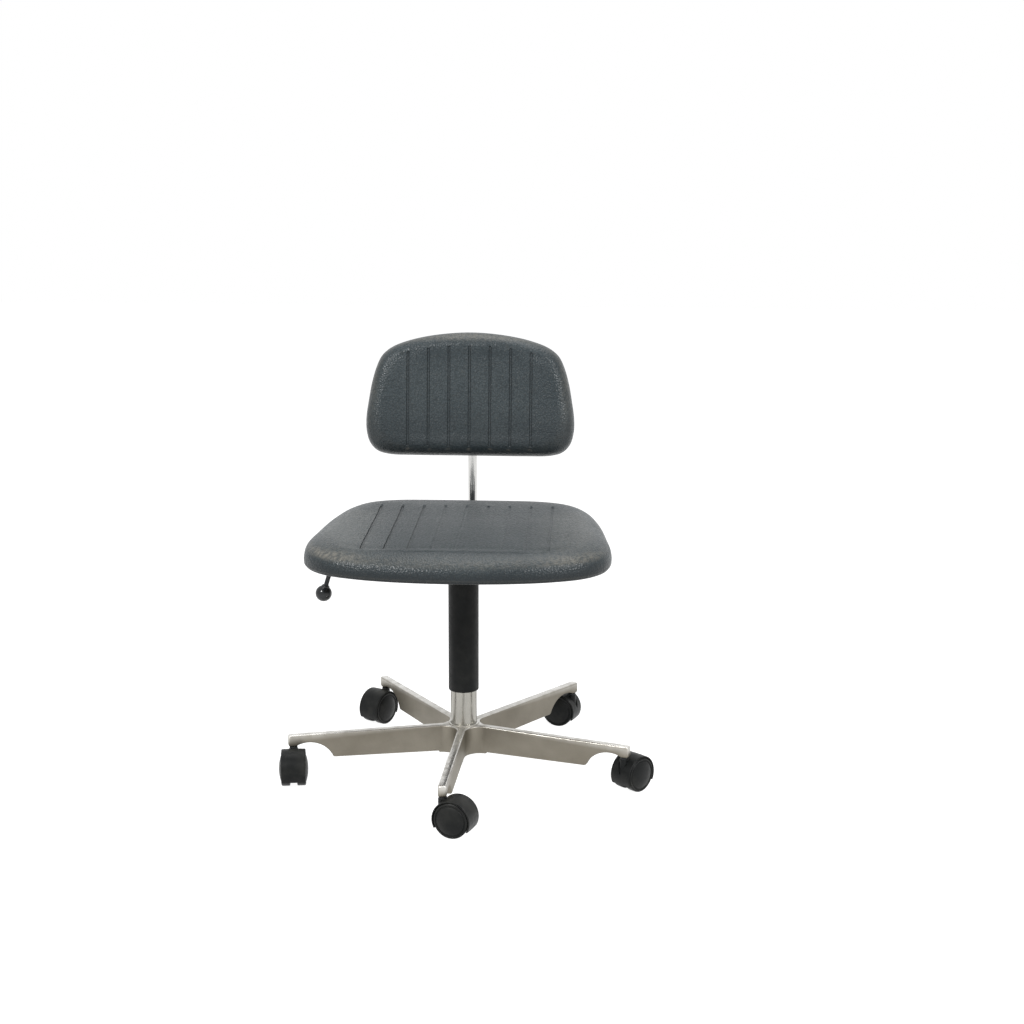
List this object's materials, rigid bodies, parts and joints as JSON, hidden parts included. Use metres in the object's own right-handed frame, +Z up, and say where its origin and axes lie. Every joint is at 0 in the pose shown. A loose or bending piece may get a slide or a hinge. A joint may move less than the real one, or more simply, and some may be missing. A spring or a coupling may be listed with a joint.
{
  "type": "drafting chair",
  "caption": "Swivel chair with a grooved moulded seat and backrest, a sleeved gas-spring column and a star base of slim cast arms on twin-wheel casters.",
  "frame": {"origin": "floor level under the middle of the chair's footprint; the column's axis stands at x = -0.0093 m, y = 0.0278 m", "axes": "+Z up; the sitter faces -Y; +X is on the right of someone who looks at the chair's front"},
  "size_m": [0.5626, 0.5326, 0.6512],
  "materials": {
    "cast_aluminium": "die-cast aluminium, sides satin and warm grey, top edges polished",
    "satin_steel": "satin ground steel",
    "chrome_steel": "bright chrome plate",
    "black_steel": "black painted steel",
    "moulded_skin": "moulded polyurethane foam with a tough pebbled skin, dark blue-grey",
    "sleeve_plastic": "matte black plastic",
    "black_plastic": "black nylon, slightly worn",
    "glossy_knob": "glossy black phenolic",
    "guide_plastic": "natural nylon",
    "bumper_rubber": "black rubber",
    "plywood": "birch plywood"
  },
  "bodies": {
    "base": {"base_star": "cast_aluminium", "stand_tube": "satin_steel", "guide_bush": "guide_plastic"},
    "column_rod": {"piston_rod": "chrome_steel", "thrust_bearing": "satin_steel", "rubber_bumper": "bumper_rubber", "retaining_clip": "black_steel"},
    "seat_frame": {"gas_cylinder": "black_steel", "column_sleeve": "sleeve_plastic", "mechanism_housing": "black_steel", "seat_screw_1": "satin_steel", "seat_screw_2": "satin_steel", "seat_screw_3": "satin_steel", "seat_screw_4": "satin_steel", "seat_board": "plywood", "seat_pad": "moulded_skin", "lever_pivot_pin": "satin_steel"},
    "release_button": {"release_pin": "satin_steel"},
    "height_lever": {"lever_rod": "black_steel", "lever_knob": "glossy_knob"},
    "back_upright": {"back_bar": "chrome_steel"},
    "depth_clamp": {"depth_clamp_knob": "black_plastic"},
    "bar_slider": {"bar_carrier": "black_plastic", "tilt_pin": "satin_steel"},
    "height_clamp": {"height_clamp_knob": "black_plastic"},
    "backrest": {"back_bracket": "black_steel", "back_board": "plywood", "back_pad": "moulded_skin", "back_screw_1": "satin_steel", "back_screw_2": "satin_steel"},
    "caster_1": {"caster_1_stem": "black_steel", "caster_1_hood": "black_plastic", "caster_1_axle": "black_steel"},
    "caster_1_wheel_left": {"caster_1_wheel_left": "black_plastic"},
    "caster_1_wheel_right": {"caster_1_wheel_right": "black_plastic"},
    "caster_2": {"caster_2_stem": "black_steel", "caster_2_hood": "black_plastic", "caster_2_axle": "black_steel"},
    "caster_2_wheel_left": {"caster_2_wheel_left": "black_plastic"},
    "caster_2_wheel_right": {"caster_2_wheel_right": "black_plastic"},
    "caster_3": {"caster_3_stem": "black_steel", "caster_3_hood": "black_plastic", "caster_3_axle": "black_steel"},
    "caster_3_wheel_left": {"caster_3_wheel_left": "black_plastic"},
    "caster_3_wheel_right": {"caster_3_wheel_right": "black_plastic"},
    "caster_4": {"caster_4_stem": "black_steel", "caster_4_hood": "black_plastic", "caster_4_axle": "black_steel"},
    "caster_4_wheel_left": {"caster_4_wheel_left": "black_plastic"},
    "caster_4_wheel_right": {"caster_4_wheel_right": "black_plastic"},
    "caster_5": {"caster_5_stem": "black_steel", "caster_5_hood": "black_plastic", "caster_5_axle": "black_steel"},
    "caster_5_wheel_left": {"caster_5_wheel_left": "black_plastic"},
    "caster_5_wheel_right": {"caster_5_wheel_right": "black_plastic"}
  },
  "joints": [
    {"name": "seat_swivel", "type": "hinge", "parent": "base", "child": "column_rod", "pos_m": [-0.00927, 0.02775, 0.04], "axis": [0, 0, 1], "continuous": true},
    {"name": "seat_height", "type": "slide", "parent": "column_rod", "child": "seat_frame", "axis": [0, 0, 1], "range_m": [-0.02, 0.11]},
    {"name": "lever_lift", "type": "hinge", "parent": "seat_frame", "child": "height_lever", "pos_m": [-0.04327, 0.02775, 0.336], "axis": [0, 1, 0], "range_deg": [0, 6], "stiffness_Nm_per_rad": 1.5, "springref_deg": -2.86},
    {"name": "release_press", "type": "slide", "parent": "seat_frame", "child": "release_button", "axis": [0, 0, 1], "range_m": [-0.005, 0]},
    {"name": "back_depth", "type": "slide", "parent": "seat_frame", "child": "back_upright", "axis": [0, 1, 0], "range_m": [-0.02, 0.03]},
    {"name": "depth_clamp_turn", "type": "hinge", "parent": "seat_frame", "child": "depth_clamp", "pos_m": [-0.00927, 0.10976, 0.3], "axis": [0, 0, -1], "range_deg": [0, 180]},
    {"name": "back_height", "type": "slide", "parent": "back_upright", "child": "bar_slider", "axis": [0, 0, 1], "range_m": [-0.03, 0.03]},
    {"name": "height_clamp_turn", "type": "hinge", "parent": "bar_slider", "child": "height_clamp", "pos_m": [-0.00927, 0.25776, 0.551], "axis": [0, 1, 0], "range_deg": [0, 180]},
    {"name": "back_tilt", "type": "hinge", "parent": "bar_slider", "child": "backrest", "pos_m": [-0.00927, 0.21175, 0.551], "axis": [-1, 0, 0], "range_deg": [-10, 10]},
    {"name": "caster_1_swivel", "type": "hinge", "parent": "base", "child": "caster_1", "pos_m": [-0.02024, -0.23402, 0.06], "axis": [0, 0, 1], "continuous": true},
    {"name": "caster_1_roll_left", "type": "hinge", "parent": "caster_1", "child": "caster_1_wheel_left", "pos_m": [-0.00228, -0.2402, 0.026], "axis": [0.3256, 0.9455, 0], "continuous": true},
    {"name": "caster_1_roll_right", "type": "hinge", "parent": "caster_1", "child": "caster_1_wheel_right", "pos_m": [-0.00228, -0.2402, 0.026], "axis": [0.3256, 0.9455, 0], "continuous": true},
    {"name": "caster_2_swivel", "type": "hinge", "parent": "base", "child": "caster_2", "pos_m": [0.2363, -0.06357, 0.06], "axis": [0, 0, 1], "continuous": true},
    {"name": "caster_2_roll_left", "type": "hinge", "parent": "caster_2", "child": "caster_2_wheel_left", "pos_m": [0.24911, -0.04954, 0.026], "axis": [-0.7385, 0.6743, 0], "continuous": true},
    {"name": "caster_2_roll_right", "type": "hinge", "parent": "caster_2", "child": "caster_2_wheel_right", "pos_m": [0.24911, -0.04954, 0.026], "axis": [-0.7385, 0.6743, 0], "continuous": true},
    {"name": "caster_3_swivel", "type": "hinge", "parent": "base", "child": "caster_3", "pos_m": [0.15347, 0.23308, 0.06], "axis": [0, 0, 1], "continuous": true},
    {"name": "caster_3_roll_left", "type": "hinge", "parent": "caster_3", "child": "caster_3_wheel_left", "pos_m": [0.13566, 0.23971, 0.026], "axis": [-0.3486, -0.9373, 0], "continuous": true},
    {"name": "caster_3_roll_right", "type": "hinge", "parent": "caster_3", "child": "caster_3_wheel_right", "pos_m": [0.13566, 0.23971, 0.026], "axis": [-0.3486, -0.9373, 0], "continuous": true},
    {"name": "caster_4_swivel", "type": "hinge", "parent": "base", "child": "caster_4", "pos_m": [-0.15426, 0.24598, 0.06], "axis": [0, 0, 1], "continuous": true},
    {"name": "caster_4_roll_left", "type": "hinge", "parent": "caster_4", "child": "caster_4_wheel_left", "pos_m": [-0.16444, 0.22994, 0.026], "axis": [0.8443, -0.5358, 0], "continuous": true},
    {"name": "caster_4_roll_right", "type": "hinge", "parent": "caster_4", "child": "caster_4_wheel_right", "pos_m": [-0.16444, 0.22994, 0.026], "axis": [0.8443, -0.5358, 0], "continuous": true},
    {"name": "caster_5_swivel", "type": "hinge", "parent": "base", "child": "caster_5", "pos_m": [-0.26162, -0.0427, 0.06], "axis": [0, 0, 1], "continuous": true},
    {"name": "caster_5_roll_left", "type": "hinge", "parent": "caster_5", "child": "caster_5_wheel_left", "pos_m": [-0.2591, -0.06153, 0.026], "axis": [0.9912, 0.1323, 0], "continuous": true},
    {"name": "caster_5_roll_right", "type": "hinge", "parent": "caster_5", "child": "caster_5_wheel_right", "pos_m": [-0.2591, -0.06153, 0.026], "axis": [0.9912, 0.1323, 0], "continuous": true}
  ],
  "couplings": [
    {"joint": "release_press", "follows": "lever_lift", "m_per_rad": -0.04}
  ]
}
